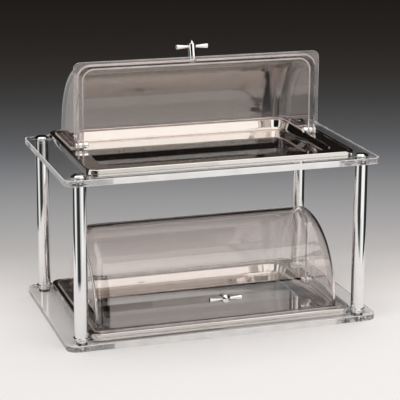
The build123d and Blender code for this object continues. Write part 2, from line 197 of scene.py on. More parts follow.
def noise_on(material, scale, detail=4.0, roughness=0.55):
    """Noise pattern on Object coordinates, as a value from 0 to 1."""
    nodes, links = material.node_tree.nodes, material.node_tree.links
    where = nodes.new("ShaderNodeTexCoord")
    noise = nodes.new("ShaderNodeTexNoise")
    noise.inputs["Scale"].default_value = scale
    noise.inputs["Detail"].default_value = detail
    noise.inputs["Roughness"].default_value = roughness
    links.new(where.outputs["Object"], noise.inputs["Vector"])
    return noise.outputs["Fac"]


def ranged(owner, value, old, new=(0.0, 1.0), course="LINEAR"):
    """A value's old range carried over to the new one, in a material or the world."""
    node = owner.node_tree.nodes.new("ShaderNodeMapRange")
    node.interpolation_type = course
    node.inputs["From Min"].default_value, node.inputs["From Max"].default_value = old
    node.inputs["To Min"].default_value, node.inputs["To Max"].default_value = new
    owner.node_tree.links.new(value, node.inputs["Value"])
    return node.outputs["Result"]


def spread(material, pattern, low, high):
    """The middle of a noise pattern, where most of it lies, spread from low to high."""
    return ranged(material, pattern, (0.3, 0.7), (low, high))


def mottled(material, pattern, dark, pale):
    """Base colour that drifts with a pattern between two close tints."""
    nodes, links = material.node_tree.nodes, material.node_tree.links
    tint = nodes.new("ShaderNodeMix")
    tint.data_type = "RGBA"
    tint.inputs["A"].default_value = (*dark, 1)
    tint.inputs["B"].default_value = (*pale, 1)
    links.new(pattern, tint.inputs["Factor"])
    links.new(tint.outputs["Result"], nodes["Principled BSDF"].inputs["Base Color"])


def worn(material, pattern, least, most):
    """Roughness that drifts with a pattern."""
    skin = material.node_tree.nodes["Principled BSDF"]
    material.node_tree.links.new(spread(material, pattern, least, most), skin.inputs["Roughness"])


def rippled(material, pattern, strength, distance):
    """Bump from a pattern in the material's normal."""
    nodes, links = material.node_tree.nodes, material.node_tree.links
    bump = nodes.new("ShaderNodeBump")
    bump.inputs["Strength"].default_value = strength
    bump.inputs["Distance"].default_value = distance
    links.new(pattern, bump.inputs["Height"])
    links.new(bump.outputs["Normal"], nodes["Principled BSDF"].inputs["Normal"])


def make_rubber():
    """Matt black rubber with a fine moulded grain."""
    material, skin = new_material("foot rubber", "rubber")
    grain = noise_on(material, 900.0)
    mottled(material, grain, (0.018, 0.018, 0.018), (0.045, 0.044, 0.042))
    worn(material, grain, 0.6, 0.8)
    rippled(material, grain, 0.2, 0.0002)
    return material


def make_chrome():
    """Bright chrome plate, hardly marked: faint haze and the soft ripple of polishing."""
    material, skin = new_material("chrome plate", "chrome")
    skin.inputs["Metallic"].default_value = 1.0
    haze = noise_on(material, 60.0)
    mottled(material, haze, (0.80, 0.80, 0.81), (0.87, 0.87, 0.87))
    worn(material, haze, 0.03, 0.08)
    rippled(material, noise_on(material, 25.0, 2.0), 0.05, 0.001)
    return material


rubber = make_rubber()
chrome = make_chrome()
pad = [
    (PAD_HOLE, PAD_SEAM), (PAD_HOLE, PAD_HEIGHT), (PAD_RADIUS, PAD_HEIGHT), (PAD_RADIUS, 0.0),
    (PAD_HOLE, 0.0), (PAD_HOLE, PAD_SEAM),
]
at_columns("foot_pads", turned(eased(pad, 0.5)), rubber, "foot_pads")
foot_screw = [
    (0, DRIVE_TOP), (DRIVE_RADIUS, DRIVE_TOP), (DRIVE_RADIUS, HEAD_LOW), (HEAD_RADIUS, HEAD_LOW),
    (HEAD_RADIUS, PAD_HEIGHT), (SCREW_RADIUS, PAD_HEIGHT),
    (SCREW_RADIUS, PAD_HEIGHT + SCREW_LENGTH), (0, PAD_HEIGHT + SCREW_LENGTH),
]
at_columns("foot_screws", turned(eased(foot_screw, 0.3)), chrome, "foot_screws")


# ---- Clear plates -------------------------------------------------------------
# Two cast acrylic plates, drilled at their corners for the columns, their edges
# polished with a flame. The cut-out in the middle, for the tray's well, keeps the
# white wall that the saw left. Where that lit wall shows through the plates' long
# sides, it is painted on them as a white band of painted light, and the milky white
# on the polished sides and flamed corners is painted light piped through the plate.
PLATE_THICKNESS, TIER_RISE = 12.0, 316.0
LOWER_TOP = PAD_HEIGHT + PLATE_THICKNESS
PLATE_TOPS = {"lower": LOWER_TOP, "upper": LOWER_TOP + TIER_RISE}
PLATE_HALF, PLATE_CORNER, PLATE_EASING = (310.0, 190.0), 20.0, 0.9
CUTOUT_HALF, CUTOUT_CORNER, CUTOUT_CHAMFER = (234.0, 145.0), 12.0, 0.5
# Where the painted band of the lit sawn wall fades out, in mm inside the cut-out's ends.
WALL_GLOW_FADES = (15.0, 8.0)
SPIGOT_HOLE, DRILL_PAST = 7.2, 1.0
# White of the sawn wall's real cloudiness, and also of the painted glow on the plates' polished long
# sides and flamed corners.
MILK_AND_PAINTED_GLOW = (0.97, 0.96, 0.94, 1)
FLAT, SIDE, ROUNDED, SAWN = 0, 1, 2, 3


def rounded_loop(half, corner, out, z, steps=10):
    """Closed loop of points in mm round a rectangle with rounded corners, grown by out."""
    half_x, half_y, radius = half[0] + out, half[1] + out, corner + out
    loop = []
    for turn in range(4):
        sx, sy = (1, 1, -1, -1)[turn], (-1, 1, 1, -1)[turn]
        for k in range(steps + 1):
            a = math.radians(90 * (turn - 1 + k / steps))
            x = sx * (half_x - radius) + radius * math.cos(a)
            y = sy * (half_y - radius) + radius * math.sin(a)
            loop.append(Vector((x, y, z)))
    return loop


def skinned(loops, closed=False, cap=False):
    """Surface through loops that have the same number of points."""
    points, faces, count = [p for loop in loops for p in loop], [], len(loops[0])
    spans = list(zip(range(len(loops)), range(1, len(loops))))
    if closed:
        spans.append((len(loops) - 1, 0))
    for low, high in spans:
        for k in range(count):
            n = (k + 1) % count
            faces.append([low * count + k, low * count + n, high * count + n, high * count + k])
    if cap:
        faces.append([(len(loops) - 1) * count + k for k in range(count)])
    return points, faces


def by_finish(points, faces, finish_of, finishes):
    """One surface as a shape for each finish, where finish_of gives a face's finish."""
    return [
        (points, [face for k, face in enumerate(faces) if finish_of(k) == finish], finish)
        for finish in finishes
    ]


def plate_shapes(top, steps=4):
    """Plate with rounded edges and a cut-out, closed, in four finishes."""
    under = top - PLATE_THICKNESS
    loops = []
    for low in (True, False):
        for k in range(steps + 1):
            a = math.radians(90 * (1 - k / steps if low else k / steps))
            inset, drop = PLATE_EASING * (1 - math.cos(a)), PLATE_EASING * (1 - math.sin(a))
            z = under + drop if low else top - drop
            loops.append(rounded_loop(PLATE_HALF, PLATE_CORNER, -inset, z))
    bevel = CUTOUT_CHAMFER
    for out, z in ((bevel, top), (0, top - bevel), (0, under + bevel), (bevel, under)):
        loops.append(rounded_loop(CUTOUT_HALF, CUTOUT_CORNER, out, z))
    points, faces = skinned(loops, closed=True)
    count, side, cut = len(loops[0]), steps, 2 * steps + 2
    finish = {row: ROUNDED for row in range(2 * steps + 1)}
    finish.update({side: SIDE, cut: ROUNDED, cut + 1: SAWN, cut + 2: ROUNDED})
    return by_finish(
        points, faces, lambda k: finish.get(k // count, FLAT), (FLAT, SIDE, ROUNDED, SAWN)
    )


def rod(radius, low, high, sides):
    """Plain rod about Z, in the size of a drilled hole."""
    return turned([(0, low), (radius, low), (radius, high), (0, high)], sides)


def cut_away(obj, cutter):
    """Take a closed mesh out of an object's mesh."""
    knife = object_of("knife", cutter)
    boolean = obj.modifiers.new("cut", "BOOLEAN")
    boolean.operation = "DIFFERENCE"
    boolean.solver = "EXACT"
    boolean.object = knife
    bpy.context.view_layer.update()
    evaluated = obj.evaluated_get(bpy.context.evaluated_depsgraph_get())
    mesh = bpy.data.meshes.new_from_object(evaluated)
    obj.modifiers.remove(boolean)
    obj.data = mesh
    bpy.data.objects.remove(knife)


def maths(owner, operation, *values):
    """Math node's result in a material or the world, from numbers or other nodes' outputs."""
    node = owner.node_tree.nodes.new("ShaderNodeMath")
    node.operation = operation
    for into, value in zip(node.inputs, values):
        if isinstance(value, float):
            into.default_value = value
        else:
            owner.node_tree.links.new(value, into)
    return node.outputs["Value"]


def blend(owner, share, first, second):
    """The first shader with a share of the second mixed into it."""
    mix = owner.node_tree.nodes.new("ShaderNodeMixShader")
    for into, value in zip(mix.inputs, (share, first, second)):
        owner.node_tree.links.new(value, into)
    return mix.outputs["Shader"]


def let_light_through(material, tint):
    """Plastic that hardly darkens what stands under it: lamps and bounced light pass straight."""
    nodes, links = material.node_tree.nodes, material.node_tree.links
    path = nodes.new("ShaderNodeLightPath")
    either = maths(material, "MAXIMUM", path.outputs["Is Shadow Ray"], path.outputs["Is Diffuse Ray"])
    open_way = nodes.new("ShaderNodeBsdfTransparent")
    open_way.inputs["Color"].default_value = tint
    plastic = nodes["Principled BSDF"].outputs["BSDF"]
    mixed = blend(material, either, plastic, open_way.outputs["BSDF"])
    links.new(mixed, nodes["Material Output"].inputs["Surface"])


def make_clear(name, slot, color, ior, wave_scale, wave, shade):
    """Clear plastic with faint haze from wiping and the slight waves of its making."""
    material, skin = new_material(name, slot)
    skin.inputs["Base Color"].default_value = color
    skin.inputs["Transmission Weight"].default_value = 1.0
    skin.inputs["IOR"].default_value = ior
    worn(material, noise_on(material, 35.0), 0.0, 0.03)
    rippled(material, noise_on(material, wave_scale, 1.0), wave, 0.001)
    let_light_through(material, shade)
    return material


def painted_wall_glow_along_cutout(material, share, more):
    """Add painted light to the white share where the cut-out's lit sawn wall shows through a long
    side: a painted white band that stands in for the wall seen through the plate.

    It fades over the last stretch before the cut-out's ends.
    """
    nodes, links = material.node_tree.nodes, material.node_tree.links
    where = nodes.new("ShaderNodeTexCoord")
    apart = nodes.new("ShaderNodeSeparateXYZ")
    links.new(where.outputs["Object"], apart.inputs["Vector"])
    off_middle = maths(material, "ABSOLUTE", apart.outputs["X"])
    ends = [(CUTOUT_HALF[0] - inside) * MM for inside in WALL_GLOW_FADES]
    # Painted light: a white band where the lit sawn wall shows through the side.
    shown = ranged(material, off_middle, ends, (more, 0.0), "SMOOTHSTEP")
    return maths(material, "ADD", shown, share)


def hazed_with_painted_glow(material, least, most, color, painted_wall_glow=0.0):
    """The same plastic with a share of matt white. On sawn faces this is the cloudiness that the saw
    or the file left. On the plates' polished sides and flamed corners it is painted light standing in
    for light piped through the plate. On the covers' flanges and edges it is partly frosting and
    partly painted highlight.
    """
    nodes, links = material.node_tree.nodes, material.node_tree.links
    milk = nodes.new("ShaderNodeBsdfDiffuse")
    milk.inputs["Color"].default_value = color
    share = spread(material, noise_on(material, 30.0, 1.0), least, most)
    if painted_wall_glow:
        share = painted_wall_glow_along_cutout(material, share, painted_wall_glow)
    through = nodes["Principled BSDF"].outputs["BSDF"]
    onward = through.links[0].to_socket
    links.new(blend(material, share, through, milk.outputs["BSDF"]), onward)
    return material


def make_acrylic(name):
    """Cast acrylic: nearly colourless, with very slight waves."""
    tint, shade = (0.995, 0.99, 0.985, 1), (0.995, 0.995, 0.995, 1)
    return make_clear(name, "clear_plate", tint, 1.49, 6.0, 0.02, shade)


# On the polished side and the flamed corner, the matt white share is painted light standing in for
# light piped through the plate. On the sawn side it is the saw's real cloudiness.
plate_finishes = (
    make_acrylic("cast acrylic"),
    hazed_with_painted_glow(make_acrylic("polished side"), 0.06, 0.18, MILK_AND_PAINTED_GLOW, painted_wall_glow=0.55),
    hazed_with_painted_glow(make_acrylic("flamed corner"), 0.5, 0.8, MILK_AND_PAINTED_GLOW),
    hazed_with_painted_glow(make_acrylic("sawn side"), 0.9, 1.0, MILK_AND_PAINTED_GLOW),
)
for tier, top in PLATE_TOPS.items():
    name = f"{tier}_clear_plate"
    plate = object_of(name, mesh_of(name, *plate_shapes(top)), *plate_finishes)
    drill_low, drill_high = top - PLATE_THICKNESS - DRILL_PAST, top + DRILL_PAST
    hole, hole_faces = rod(SPIGOT_HOLE, drill_low, drill_high, 32)
    holes = []
    for x in (-0.5, 0.5):
        for y in (-0.5, 0.5):
            place = Vector((x * COLUMN_SPACING[0], y * COLUMN_SPACING[1], 0))
            holes.append(([point + place for point in hole], hole_faces))
    cut_away(plate, mesh_of("drills", *holes))
    kept(plate, "stand", f"{tier}_plate")


# ---- Columns ------------------------------------------------------------------
# Chromed steel tubes. A turned socket with a raised ring stands on the lower plate,
# its spigot through it, and a domed cap with a thin flange clamps the upper plate.
UPPER_TOP = LOWER_TOP + TIER_RISE
UPPER_UNDER = UPPER_TOP - PLATE_THICKNESS
TUBE_RADIUS, TUBE_BORE = 13.0, 11.6
TUBE_LOW = LOWER_TOP + 8.0
RING_RADIUS, RING_LOW = 15.5, TUBE_LOW - 2.0
GROOVE_HEIGHT, GROOVE_DEPTH = 0.4, 0.6
SPIGOT_RADIUS, SCREW_BORE = 7.0, 4.05
PLUG_RADIUS, PLUG_LENGTH = 11.45, 20.0
CAP_FLANGE, CAP_DOME = 1.5, 4.5


def ring_of(inner, outer, low, high):
    """Closed outline of a plain ring or tube."""
    return [(inner, low), (outer, low), (outer, high), (inner, high), (inner, low)]


def button(radius, low, height, steps=10, shoulder=0.7, crown=0.85):
    """Outline of a low button with a full shoulder, from just above its rim to its top."""
    outline = []
    for k in range(1, steps + 1):
        a = math.radians(90 * k / steps)
        outline.append(Vector((radius * math.cos(a) ** shoulder, low + height * math.sin(a) ** crown)))
    return outline


tube = ring_of(TUBE_BORE, TUBE_RADIUS, TUBE_LOW, UPPER_UNDER)
at_columns(
    "columns", turned(eased(tube, 0.35), 64), chrome,
    "front_left_column", "front_right_column", "rear_left_column", "rear_right_column",
)
socket = [
    (SCREW_BORE, PAD_HEIGHT), (SPIGOT_RADIUS, PAD_HEIGHT), (SPIGOT_RADIUS, LOWER_TOP),
    (TUBE_RADIUS, LOWER_TOP), (TUBE_RADIUS, RING_LOW - GROOVE_HEIGHT),
    (TUBE_RADIUS - GROOVE_DEPTH, RING_LOW), (RING_RADIUS, RING_LOW), (RING_RADIUS, TUBE_LOW),
    (PLUG_RADIUS, TUBE_LOW), (PLUG_RADIUS, TUBE_LOW + PLUG_LENGTH),
    (SCREW_BORE, TUBE_LOW + PLUG_LENGTH), (SCREW_BORE, PAD_HEIGHT),
]
at_columns("column_base_sockets", turned(eased(socket, 0.5), 64), chrome, "column_base_sockets")
plug = [
    (SCREW_BORE, UPPER_UNDER - PLUG_LENGTH), (PLUG_RADIUS, UPPER_UNDER - PLUG_LENGTH),
    (PLUG_RADIUS, UPPER_UNDER), (SPIGOT_RADIUS, UPPER_UNDER), (SPIGOT_RADIUS, UPPER_TOP),
    (SCREW_BORE, UPPER_TOP), (SCREW_BORE, UPPER_UNDER - PLUG_LENGTH),
]
at_columns("column_top_plugs", turned(eased(plug, 0.3), 48), chrome, "column_top_plugs")
cap_screw = [
    (0, UPPER_TOP - SCREW_LENGTH), (SCREW_RADIUS, UPPER_TOP - SCREW_LENGTH),
    (SCREW_RADIUS, UPPER_TOP), (RING_RADIUS, UPPER_TOP), (RING_RADIUS, UPPER_TOP + CAP_FLANGE),
    (TUBE_RADIUS, UPPER_TOP + CAP_FLANGE),
]
cap = eased(cap_screw, 0.4) + button(TUBE_RADIUS, UPPER_TOP + CAP_FLANGE, CAP_DOME)
at_columns("column_cap_screws", turned(cap, 64), chrome, "column_cap_screws")


# ---- Trays --------------------------------------------------------------------
# One deep-drawn sheet of mirror-polished stainless steel per tier: a skirt that
# stands on the plate, a raised band, a ledge for the covers and the sunk well.
TRAY_HALF, TRAY_CORNER, SKIRT = (264.0, 172.0), 22.0, 5.0
LEDGE_HALF, LEDGE_CORNER, LEDGE_HEIGHT = (255.5, 163.5), 13.0, 11.5
BAND_HEIGHT, BAND_BEND = LEDGE_HEIGHT + 1.0, 2.0
BAND_TO_LEDGE = ((0.9, 1.0), (0.45, 0.9), (0.15, 0.65), (0.0, 0.35), (-0.15, 0.1), (-0.5, 0.0))
WELL_CLEARANCE = 4.0
WELL_HALF = (CUTOUT_HALF[0] - WELL_CLEARANCE, CUTOUT_HALF[1] - WELL_CLEARANCE)
WELL_CORNER, WELL_DEPTH, WELL_RIM, WELL_FILLET, WELL_DRAFT = 26.0, 19.0, 1.4, 7.0, 14.0
FLOOR_HALF, FLOOR_CORNER = (200.0, 111.0), 8.0
BAND_STEPS, RIM_STEPS, RIM_STEP, FILLET_STEPS = 6, 5, 15, 8
STEEL_SHEET = 1.0


def tray_loops(base):
    """Loops over the upper side of the tray's sheet, from the skirt's foot to the floor."""
    loops = [rounded_loop(TRAY_HALF, TRAY_CORNER, 0, base + up) for up in (0, SKIRT)]
    for k in range(BAND_STEPS + 1):
        a = math.radians(90 * k / BAND_STEPS)
        z = base + (BAND_HEIGHT - BAND_BEND) + BAND_BEND * math.sin(a)
        loops.append(rounded_loop(TRAY_HALF, TRAY_CORNER, BAND_BEND * (math.cos(a) - 1), z))
    ledge = base + LEDGE_HEIGHT
    for out, rise in BAND_TO_LEDGE:
        loops.append(rounded_loop(LEDGE_HALF, LEDGE_CORNER, out, ledge + rise))
    for k in range(RIM_STEPS, -1, -1):
        a = math.radians(90 - WELL_DRAFT - RIM_STEP * k)
        z = ledge - WELL_RIM * (1 - math.cos(a))
        loops.append(rounded_loop(WELL_HALF, WELL_CORNER, WELL_RIM * (1 - math.sin(a)), z))
    floor, wall = ledge - WELL_DEPTH, math.radians(90 - WELL_DRAFT)
    slant = math.tan(math.radians(WELL_DRAFT))
    for k in range(FILLET_STEPS + 1):
        a = wall * (1 - k / FILLET_STEPS)
        inset = (WELL_DEPTH - WELL_FILLET * (1 - math.cos(wall))) * slant
        inset += WELL_FILLET * (math.sin(wall) - math.sin(a))
        z = floor + WELL_FILLET * (1 - math.cos(a))
        loops.append(rounded_loop(WELL_HALF, WELL_CORNER, -inset, z))
    loops.append(rounded_loop(FLOOR_HALF, FLOOR_CORNER, 0, floor))
    return loops


def make_mirror_steel():
    """Polished stainless sheet: neutral, a little darker than chrome, with wiped haze."""
    material, skin = new_material("mirror-polished stainless steel", "mirror_steel")
    skin.inputs["Metallic"].default_value = 1.0
    haze = noise_on(material, 18.0, 5.0)
    mottled(material, haze, (0.64, 0.61, 0.585), (0.72, 0.69, 0.665))
    worn(material, haze, 0.02, 0.06)
    rippled(material, noise_on(material, 9.0, 2.0), 0.12, 0.002)
    return material


mirror_steel = make_mirror_steel()
for tier, top in PLATE_TOPS.items():
    name = f"{tier}_steel_tray"
    tray = object_of(name, mesh_of(name, skinned(tray_loops(top), cap=True)), mirror_steel)
    sheet = tray.modifiers.new("sheet", "SOLIDIFY")
    sheet.thickness = STEEL_SHEET * MM
    sheet.offset = -1.0
    sheet.use_even_offset = True
    kept(tray, f"{tier}_tray_unit", f"{tier}_tray")


# ---- Roll-top covers ----------------------------------------------------------
# Quarter-round shells, heat-formed from clear polycarbonate sheet, with a flange
# turned out at the foot. The rear one is fixed; the front one swings back over it.
COVER_SHEET, COVER_EASING = 3.5, 0.7
PIVOT_HOLE = 3.05
COVER_TOP = 157.0
# The floor is how far a shell's underside lies below the pivot axis. The shell's upper end
# reaches past the axis by past, and its foot by past_low.
FRONT_SHELL = {
    "half": 244.0, "radius": COVER_TOP, "round": 28.0, "floor": 7.2, "past": 3.5, "past_low": 0.0,
    "flange": (250.0, 162.0), "flange_corner": 13.0, "flange_start": 12.0,
}
REAR_SHELL = {
    "half": 234.0, "radius": 149.0, "round": 25.0, "floor": 7.5, "past": 4.0, "past_low": 4.0,
    "flange": (254.0, 162.0), "flange_corner": 20.0, "flange_start": 10.0,
}
PIVOT_ABOVE_PLATE = LEDGE_HEIGHT + REAR_SHELL["floor"]
HANDLE_HOLE, HANDLE_TILT = 2.7, 13.0
HANDLE_DRILL = (COVER_TOP - 2 * COVER_SHEET, COVER_TOP + 3.0)
OPEN_TURN = {"lower": 0.0, "upper": 90.0}
ARC_STEPS, WALL_STEPS, BEND_STEPS = 72, 8, 12
WALL, FLANGE, EDGE = 0, 1, 2


def shell_shape(s):
    """A cover about its axis, with its wall towards -Y, as one closed surface."""
    floor, half, radius, rounding = s["floor"], s["half"], s["radius"], s["round"]
    start = math.hypot(s["flange_start"], floor)

    def arc(rho):
        """(y, z) points up a circle round the axis, from the floor to the far edge."""
        first, second = math.asin(-floor / rho), math.asin((COVER_SHEET - floor) / rho)
        last = math.pi - math.acos(s["past"] / rho)
        angles = [first] + [second + (last - second) * k / ARC_STEPS for k in range(ARC_STEPS + 1)]
        return [(-rho * math.cos(a), rho * math.sin(a)) for a in angles]

    stations = []
    for k in range(WALL_STEPS + 1):
        rho = start + (radius - rounding - start) * (k / WALL_STEPS)
        stations.append((half, half - COVER_SHEET, rho, rho, None))
    for k in range(1, BEND_STEPS + 1):
        a = math.radians(90 * k / BEND_STEPS)
        x, r, inner = half - rounding, radius - rounding, rounding - COVER_SHEET
        stations.append((
            x + rounding * math.cos(a), x + inner * math.cos(a),
            r + rounding * math.sin(a), r + inner * math.sin(a), a,
        ))
    corner = s["flange_corner"]
    corner_x, corner_y = s["flange"][0] - corner, s["flange"][1] - corner
    loops = []
    for side in (1, -1):
        rows = []
        for index, (x_out, x_in, rho_out, rho_in, a) in enumerate(stations):
            outer, inner = arc(rho_out), arc(rho_in)
            if a is None:
                edge = (s["flange"][0], outer[0][0])
            else:
                edge = (corner_x + corner * math.cos(a), -corner_y - corner * math.sin(a))
            wall = [Vector((side * x_out, y, z)) for y, z in outer[1:]]
            lining = [Vector((side * x_in, y, z)) for y, z in reversed(inner)]
            foot = Vector((side * x_out, outer[0][0], -floor))
            low = Vector((side * edge[0], edge[1], -floor))
            high = Vector((side * edge[0], edge[1], COVER_SHEET - floor))
            if index == 0:
                rows.append(wall + lining + [foot, foot])
            rows.append(wall + lining + [low, high])
        loops += rows if side == 1 else rows[::-1]
    points, faces = skinned(loops)
    count = len(loops[0])
    finish = {ARC_STEPS: EDGE, count - 3: FLANGE, count - 2: EDGE, count - 1: FLANGE}
    shapes = by_finish(points, faces, lambda k: finish.get(k % count, WALL), (WALL, FLANGE, EDGE))
    for side in (1, -1):
        shapes += pivot_web(s, arc(start), side)
    return shapes


def pivot_web(s, edge, side, foot_steps=6, lug_steps=24, rise_steps=3):
    """The flat of a side wall round its pivot hole, with the round lug below it."""
    floor, past, past_low = s["floor"], s["past"], s["past_low"]
    foot = edge[0][0]
    outline = [edge[0]]
    outline += [(foot + (past_low - foot) * k / foot_steps, -floor) for k in range(1, foot_steps + 1)]
    lug_start = -math.acos(past_low / floor) if past_low else -math.pi / 2
    lug_end = math.acos(past / floor)
    for k in range(0 if past_low else 1, lug_steps + 1):
        a = lug_start + (lug_end - lug_start) * k / lug_steps
        outline.append((floor * math.cos(a), floor * math.sin(a)))
    lug_top = outline[-1][1]
    rise = edge[-1][1] - lug_top
    outline += [(past, lug_top + rise * k / rise_steps) for k in range(1, rise_steps)]
    arc_from = len(outline)
    outline += list(reversed(edge))[:-1]
    count = len(outline)
    points, sides, edges = [], [], []
    for x in (s["half"], s["half"] - COVER_SHEET):
        points += [Vector((side * x, y, z)) for y, z in outline]
        for y, z in outline:
            a = math.atan2(z, y)
            points.append(Vector((side * x, PIVOT_HOLE * math.cos(a), PIVOT_HOLE * math.sin(a))))
    for k in range(count):
        n = (k + 1) % count
        sides.append([k, n, count + n, count + k])
        sides.append([2 * count + k, 3 * count + k, 3 * count + n, 2 * count + n])
        edges.append([count + k, count + n, 3 * count + n, 3 * count + k])
        if k < arc_from:
            edges.append([k, 2 * count + k, 2 * count + n, n])
    return [(points, sides, WALL), (points, edges, EDGE)]


def soften_edges(obj, width, segments=2, sharp=50):
    """Small round on every edge that turns by more than the sharp angle, in degrees."""
    bevel = obj.modifiers.new("polished edges", "BEVEL")
    bevel.width = width * MM
    bevel.segments = segments
    bevel.limit_method = "ANGLE"
    bevel.angle_limit = math.radians(sharp)
    bevel.use_clamp_overlap = True


def make_polycarbonate(name):
    """Clear polycarbonate: a faint warm smoke, with the waves of heat forming."""
    tint, shade = (0.975, 0.94, 0.925, 1), (0.93, 0.905, 0.895, 1)
    return make_clear(name, "clear_cover", tint, 1.585, 7.0, 0.05, shade)


def on_axis(tier, turn=0.0, extra=Matrix()):
    """Placement on a tier's pivot axis, turned back by an angle in degrees. In mm."""
    lift = Matrix.Translation((0, 0, PLATE_TOPS[tier] + PIVOT_ABOVE_PLATE))
    return lift @ Matrix.Rotation(math.radians(-turn), 4, "X") @ extra


def on_cover(tier):
    """Placement of the handle: its Z axis stands square on the front cover."""
    tilt = Matrix.Rotation(math.radians(90 - HANDLE_TILT), 4, "X")
    return on_axis(tier, OPEN_TURN[tier], tilt)


# The matt white on the formed flange and the edges is partly the frosting of formed and cut plastic,
# and partly painted highlight that their rounds catch.
cover_finishes = (
    make_polycarbonate("clear polycarbonate"),
    hazed_with_painted_glow(make_polycarbonate("formed flange"), 0.0, 0.08, (0.88, 0.81, 0.79, 1)),
    hazed_with_painted_glow(make_polycarbonate("flamed edge"), 0.3, 0.5, (0.92, 0.86, 0.84, 1)),
)
for tier in PLATE_TOPS:
    name = f"{tier}_rear_roll_cover"
    back = Matrix.Diagonal((1, -1, 1, 1))
    shell = mesh_of(name, *shell_shape(REAR_SHELL), place=on_axis(tier, 0.0, back))
    rear = object_of(name, shell, *cover_finishes)
    soften_edges(rear, COVER_EASING)
    kept(rear, f"{tier}_tray_unit", f"{tier}_rear_cover")

    name = f"{tier}_front_roll_cover"
    shell = mesh_of(name, *shell_shape(FRONT_SHELL), place=on_axis(tier, OPEN_TURN[tier]))
    front = object_of(name, shell, *cover_finishes)
    cut_away(front, mesh_of("drill", rod(HANDLE_HOLE, *HANDLE_DRILL, 24), place=on_cover(tier)))
    soften_edges(front, COVER_EASING)
    kept(front, f"{tier}_front", f"{tier}_front_cover")


# ---- Cover pivots -------------------------------------------------------------
# A chromed shoulder bolt at each side, through the front cover, a spacer and the
# rear cover into a round blind nut. Turned steel; the front cover turns on it.
ALONG_X = Matrix.Rotation(math.radians(90), 4, "Y")
BEVEL_DEPTH, BEVEL_HEIGHT = 0.65, 0.6
PIVOT_GAP = 0.3
KNOB_RADIUS = 6.25
NUT_FACE = REAR_SHELL["half"] - COVER_SHEET
NUT_END, NUT_END_WALL = NUT_FACE - 8.5, 0.6
BOLT_RADIUS, BOLT_END = 3.0, NUT_END + 1.2
HEAD_FOOT = FRONT_SHELL["half"] + PIVOT_GAP
HEAD_TOP = HEAD_FOOT + 3.2
BOLT_DRIVE_RADII, BOLT_DRIVE_LOW = (1.6, 2.0), HEAD_TOP - 0.8
SPACER_RADIUS, SPACER_END = 6.0, FRONT_SHELL["half"] - COVER_SHEET - PIVOT_GAP


def make_sides_tree():
    """One copy as it is and one turned half round, for the left-hand side."""
    tree, given, result = new_tree("left_and_right", ("Material", "NodeSocketMaterial"))
    line = tree.nodes.new("GeometryNodeMeshLine")
    line.inputs["Count"].default_value = 2
    line.inputs["Offset"].default_value = (0, 0, 0)
    index = tree.nodes.new("GeometryNodeInputIndex")
    half_turn = tree.nodes.new("ShaderNodeMath")
    half_turn.operation = "MULTIPLY"
    half_turn.inputs[1].default_value = math.pi
    turn = tree.nodes.new("ShaderNodeCombineXYZ")
    tree.links.new(index.outputs["Index"], half_turn.inputs[0])
    tree.links.new(half_turn.outputs["Value"], turn.inputs["Z"])
    place = copies_at(tree, given, result, line.outputs["Mesh"])
    tree.links.new(turn.outputs["Vector"], place.inputs["Rotation"])
    return tree


sides_tree = make_sides_tree()


def both_sides(name, outline, place, body, node):
    """A turned chrome part lying along X, and its twin at the other side."""
    obj = object_of(name, mesh_of(name, turned(eased(outline, 0.4), 40), place=ALONG_X), chrome)
    run_tree(obj, sides_tree, Material=chrome)
    moved = place.copy()
    moved.translation *= MM
    obj.data.transform(moved)
    return kept(obj, body, node)


bolt = [
    (0, BOLT_END), (BOLT_RADIUS, BOLT_END), (BOLT_RADIUS, HEAD_FOOT), (KNOB_RADIUS, HEAD_FOOT),
    (KNOB_RADIUS, HEAD_TOP - BEVEL_HEIGHT), (KNOB_RADIUS - BEVEL_DEPTH, HEAD_TOP),
    (BOLT_DRIVE_RADII[1], HEAD_TOP), (BOLT_DRIVE_RADII[0], BOLT_DRIVE_LOW), (0, BOLT_DRIVE_LOW),
]
spacer = ring_of(PIVOT_HOLE, SPACER_RADIUS, REAR_SHELL["half"], SPACER_END)
nut = [
    (0, NUT_END), (KNOB_RADIUS - BEVEL_DEPTH, NUT_END), (KNOB_RADIUS, NUT_END + BEVEL_HEIGHT),
    (KNOB_RADIUS, NUT_FACE), (PIVOT_HOLE, NUT_FACE), (PIVOT_HOLE, NUT_END + NUT_END_WALL),
    (0, NUT_END + NUT_END_WALL),
]
for tier in PLATE_TOPS:
    place, body = on_axis(tier), f"{tier}_tray_unit"
    both_sides(f"{tier}_cover_bolts", bolt, place, body, f"{tier}_pivot_bolts")
    both_sides(f"{tier}_cover_spacers", spacer, place, body, f"{tier}_pivot_spacers")
    both_sides(f"{tier}_cover_nuts", nut, place, body, f"{tier}_pivot_nuts")


# ---- Handles ------------------------------------------------------------------
# A chromed T handle on each front cover: a pointed post with two arms that widen
# outwards, on a thin clear gasket, held by a low-headed screw from inside.
GASKET_RADIUS, POST_LOW = 7.5, COVER_TOP + 1.0
POST_RADIUS, POST_SHOULDER = 8.0, POST_LOW + 26.5
TIP_RADIUS, TIP_TOP = 0.8, POST_SHOULDER + 6.5
POST_BORE, POST_BORE_TOP = 2.55, POST_LOW + 14.0
WASHER_RADIUS, WASHER_TOP = 6.5, COVER_TOP - COVER_SHEET - 0.2
WASHER_LOW = WASHER_TOP - 0.8
SCREW_HEAD_RADIUS, SCREW_HEAD_LOW = 5.0, WASHER_LOW - 1.9
HANDLE_SCREW_RADIUS, HANDLE_SCREW_TOP = 2.5, POST_BORE_TOP - 0.2
ARM_HEIGHT = 22.0
ARM_SPIGOT_RADIUS, ARM_SPIGOT_END = 2.0, 3.5
ARM_RADII, ARM_ENDS = (2.5, 5.25), (7.6, 32.0)


